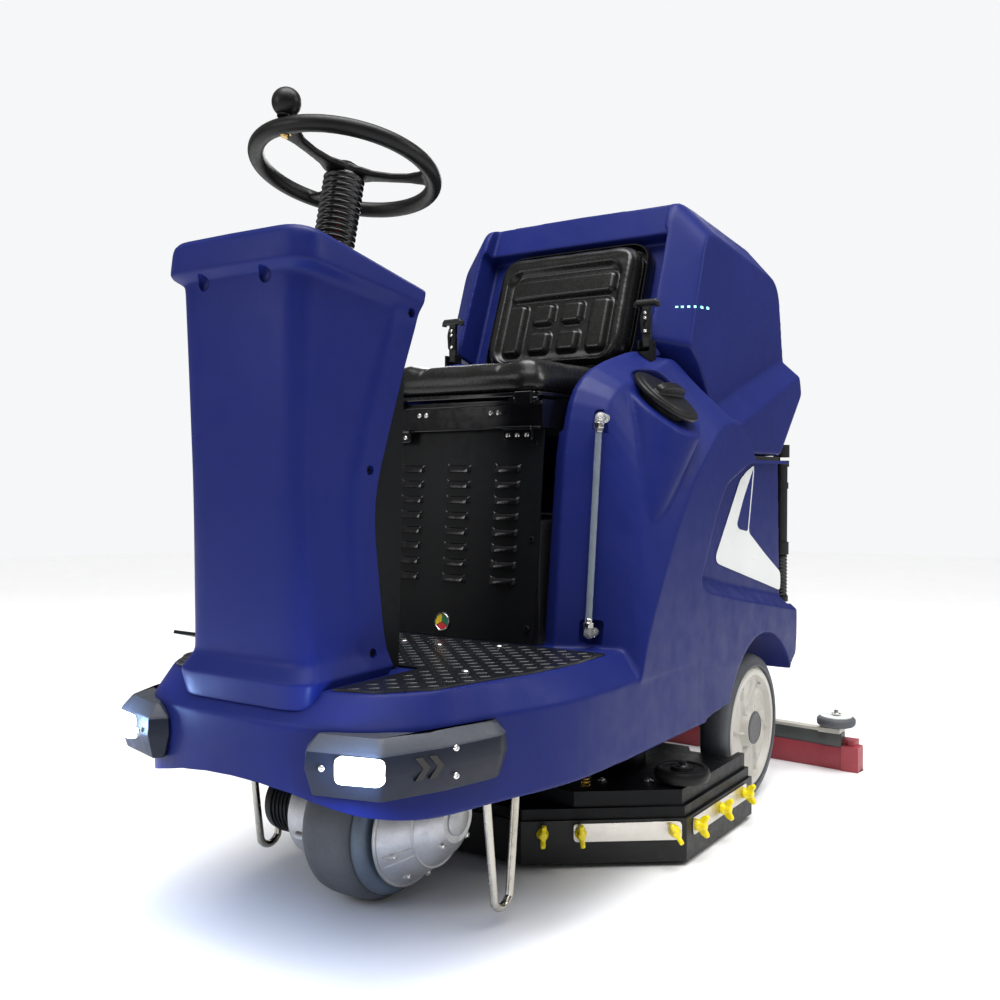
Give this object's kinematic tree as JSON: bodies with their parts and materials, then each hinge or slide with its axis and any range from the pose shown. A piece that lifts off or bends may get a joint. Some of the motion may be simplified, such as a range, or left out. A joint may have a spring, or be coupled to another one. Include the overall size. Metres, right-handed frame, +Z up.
{
  "type": "ride-on floor scrubber",
  "caption": "Ride-on floor scrubber with steered drive wheel, seat, side solution tanks, tilting recovery tank, lifting brush deck and rear squeegee.",
  "frame": {"origin": "on the floor, under the middle of the machine's bounding box", "axes": "+Z up, -Y is the way the machine drives, +X is the operator's left"},
  "size_m": [1.052, 1.7584, 1.4276],
  "materials": {
    "blue_plastic": "fine-grained rotomoulded",
    "black_steel": "satin powder coat",
    "gloss_black": "gloss",
    "tread_plate": "satin, raised bars",
    "black_plastic": "satin",
    "charcoal_plastic": "grained",
    "lamp_lens": "frosted",
    "clear_tube": "clear",
    "rubber": "matte",
    "grey_tyre": "matte",
    "wheel_centre": "satin",
    "cast_aluminium": "as cast",
    "polished_steel": "polished",
    "stainless_strip": "brushed",
    "yellow_plastic": "gloss",
    "red_rubber": "matte",
    "red_plastic": "gloss",
    "seat_vinyl": "soft vinyl",
    "screw_steel": "plated",
    "bristle": "nylon bristle",
    "battery_case": "satin",
    "bracket_beige": "satin"
  },
  "bodies": {
    "machine": {"chassis_frame": "black_steel", "front_fairing": "blue_plastic", "body_tank": "blue_plastic", "platform_plate": "tread_plate", "tie_down_loops": "polished_steel", "cowl_shell": "blue_plastic", "cowl_rear_panel": "black_steel", "control_panel": "black_plastic", "headlight_housings": "charcoal_plastic", "headlight_lenses": "lamp_lens", "steering_column": "black_steel", "column_bellows": "rubber", "battery_door": "black_steel", "batteries": "battery_case", "seat_base": "gloss_black", "vacuum_motor": "black_steel", "level_tube": "clear_tube", "latch_bases": "black_steel", "body_screws": "screw_steel"},
    "steering": {"steering_wheel": "black_plastic"},
    "spinner": {"spinner_knob": "black_plastic"},
    "drive_unit": {"drive_yoke": "cast_aluminium", "drive_motor": "cast_aluminium", "drive_brake": "black_steel"},
    "drive_wheel": {"drive_rim": "cast_aluminium", "drive_tyre": "grey_tyre"},
    "rear_wheel_left": {"rear_hub_left": "wheel_centre", "rear_tyre_left": "grey_tyre"},
    "rear_wheel_right": {"rear_hub_right": "wheel_centre", "rear_tyre_right": "grey_tyre"},
    "front_arms": {"lift_arms_front": "black_steel"},
    "rear_arms": {"lift_arms_rear": "black_steel"},
    "deck": {"deck_housing": "black_steel", "deck_skirts": "rubber", "skirt_strips": "stainless_strip", "skirt_knobs": "yellow_plastic", "brush_motors": "black_steel"},
    "left_brush": {"brush_left": "bristle"},
    "right_brush": {"brush_right": "bristle"},
    "left_bumper": {"deck_roller_left": "black_plastic"},
    "right_bumper": {"deck_roller_right": "black_plastic"},
    "squeegee": {"squeegee_arm": "bracket_beige", "squeegee_body": "charcoal_plastic", "squeegee_blades": "red_rubber", "vacuum_hose": "rubber"},
    "left_squeegee_roller": {"squeegee_roller_left": "charcoal_plastic"},
    "right_squeegee_roller": {"squeegee_roller_right": "charcoal_plastic"},
    "recovery": {"recovery_tank": "blue_plastic", "drain_hose": "rubber", "back_pan": "black_steel", "back_cushion": "seat_vinyl"},
    "lid": {"tank_lid": "blue_plastic"},
    "seat": {"seat_pan": "gloss_black", "seat_cushion": "seat_vinyl"},
    "left_latch": {"latch_left": "rubber"},
    "right_latch": {"latch_right": "rubber"},
    "filler": {"fill_cap": "black_plastic"},
    "pedal": {"accelerator_pedal": "black_steel"},
    "key": {"key_switch": "screw_steel"},
    "stop": {"stop_button": "red_plastic"}
  },
  "joints": [
    {"name": "drive_steer", "type": "hinge", "parent": "machine", "child": "drive_unit", "pos_m": [0, -0.519, 0.3], "axis": [0, 0, 1], "range_deg": [-80, 80]},
    {"name": "steering_turn", "type": "hinge", "parent": "machine", "child": "steering", "pos_m": [0, -0.591, 1.325], "axis": [0, 0.225, 0.9744], "range_deg": [-240, 240]},
    {"name": "spinner_spin", "type": "hinge", "parent": "steering", "child": "spinner", "pos_m": [0, -0.74544, 1.36065], "axis": [0, 0.225, 0.9744], "continuous": true},
    {"name": "drive_wheel_spin", "type": "hinge", "parent": "drive_unit", "child": "drive_wheel", "pos_m": [0, -0.519, 0.14], "axis": [1, 0, 0], "continuous": true},
    {"name": "rear_left_spin", "type": "hinge", "parent": "machine", "child": "rear_wheel_left", "pos_m": [0, 0.423, 0.176], "axis": [1, 0, 0], "continuous": true},
    {"name": "rear_right_spin", "type": "hinge", "parent": "machine", "child": "rear_wheel_right", "pos_m": [0, 0.423, 0.176], "axis": [1, 0, 0], "continuous": true},
    {"name": "deck_lift", "type": "hinge", "parent": "machine", "child": "front_arms", "pos_m": [0, 0.096, 0.25], "axis": [-1, 0, 0], "range_deg": [0, 14]},
    {"name": "rear_arm_lift", "type": "hinge", "parent": "machine", "child": "rear_arms", "pos_m": [0, 0.236, 0.25], "axis": [-1, 0, 0], "range_deg": [0, 14]},
    {"name": "deck_level", "type": "hinge", "parent": "front_arms", "child": "deck", "pos_m": [0, -0.084, 0.19], "axis": [-1, 0, 0], "range_deg": [-14, 0]},
    {"name": "left_brush_spin", "type": "hinge", "parent": "deck", "child": "left_brush", "pos_m": [0.203, 0.058, 0.1], "axis": [0, 0, 1], "continuous": true},
    {"name": "right_brush_spin", "type": "hinge", "parent": "deck", "child": "right_brush", "pos_m": [-0.203, 0.058, 0.1], "axis": [0, 0, 1], "continuous": true},
    {"name": "left_bumper_spin", "type": "hinge", "parent": "deck", "child": "left_bumper", "pos_m": [0.392, -0.011, 0.168], "axis": [0, 0, 1], "continuous": true},
    {"name": "right_bumper_spin", "type": "hinge", "parent": "deck", "child": "right_bumper", "pos_m": [-0.392, -0.011, 0.168], "axis": [0, 0, 1], "continuous": true},
    {"name": "squeegee_lift", "type": "hinge", "parent": "machine", "child": "squeegee", "pos_m": [0, 0.636, 0.215], "axis": [1, 0, 0], "range_deg": [0, 14], "deforming": ["vacuum_hose"]},
    {"name": "left_squeegee_roller_spin", "type": "hinge", "parent": "squeegee", "child": "left_squeegee_roller", "pos_m": [0.467, 0.802, 0.13], "axis": [0, 0, 1], "continuous": true},
    {"name": "right_squeegee_roller_spin", "type": "hinge", "parent": "squeegee", "child": "right_squeegee_roller", "pos_m": [-0.467, 0.802, 0.13], "axis": [0, 0, 1], "continuous": true},
    {"name": "tank_tilt", "type": "hinge", "parent": "machine", "child": "recovery", "pos_m": [0, 0.604, 0.822], "axis": [-1, 0, 0], "range_deg": [0, 55], "deforming": ["drain_hose"]},
    {"name": "lid_open", "type": "hinge", "parent": "recovery", "child": "lid", "pos_m": [0, 0.696, 1.381], "axis": [-1, 0, 0], "range_deg": [0, 95]},
    {"name": "seat_tilt", "type": "hinge", "parent": "machine", "child": "seat", "pos_m": [0, -0.266, 0.93], "axis": [1, 0, 0], "range_deg": [0, 60]},
    {"name": "left_latch_swing", "type": "hinge", "parent": "machine", "child": "left_latch", "pos_m": [0.262, 0.086, 1.062], "axis": [1, 0, 0], "range_deg": [0, 80]},
    {"name": "right_latch_swing", "type": "hinge", "parent": "machine", "child": "right_latch", "pos_m": [-0.262, 0.086, 1.062], "axis": [1, 0, 0], "range_deg": [0, 80]},
    {"name": "cap_turn", "type": "hinge", "parent": "machine", "child": "filler", "pos_m": [0.34, 0.006, 0.938], "axis": [0.6561, 0, 0.7547], "range_deg": [0, 90]},
    {"name": "pedal_press", "type": "hinge", "parent": "machine", "child": "pedal", "pos_m": [-0.26, -0.62, 0.461], "axis": [1, 0, 0], "range_deg": [0, 14], "stiffness_Nm_per_rad": 8, "springref_deg": -6.88},
    {"name": "key_turn", "type": "hinge", "parent": "machine", "child": "key", "pos_m": [-0.07, -0.694, 1.13], "axis": [0, 0, 1], "range_deg": [0, 60]},
    {"name": "stop_press", "type": "slide", "parent": "machine", "child": "stop", "axis": [0, 0, -1], "range_m": [0, 0.006], "stiffness_N_per_m": 600, "springref_m": -0.003}
  ],
  "couplings": [
    {"joint": "steering_turn", "follows": "drive_steer", "ratio": 3},
    {"joint": "rear_arm_lift", "follows": "deck_lift", "ratio": 1},
    {"joint": "deck_level", "follows": "deck_lift", "ratio": -1}
  ]
}
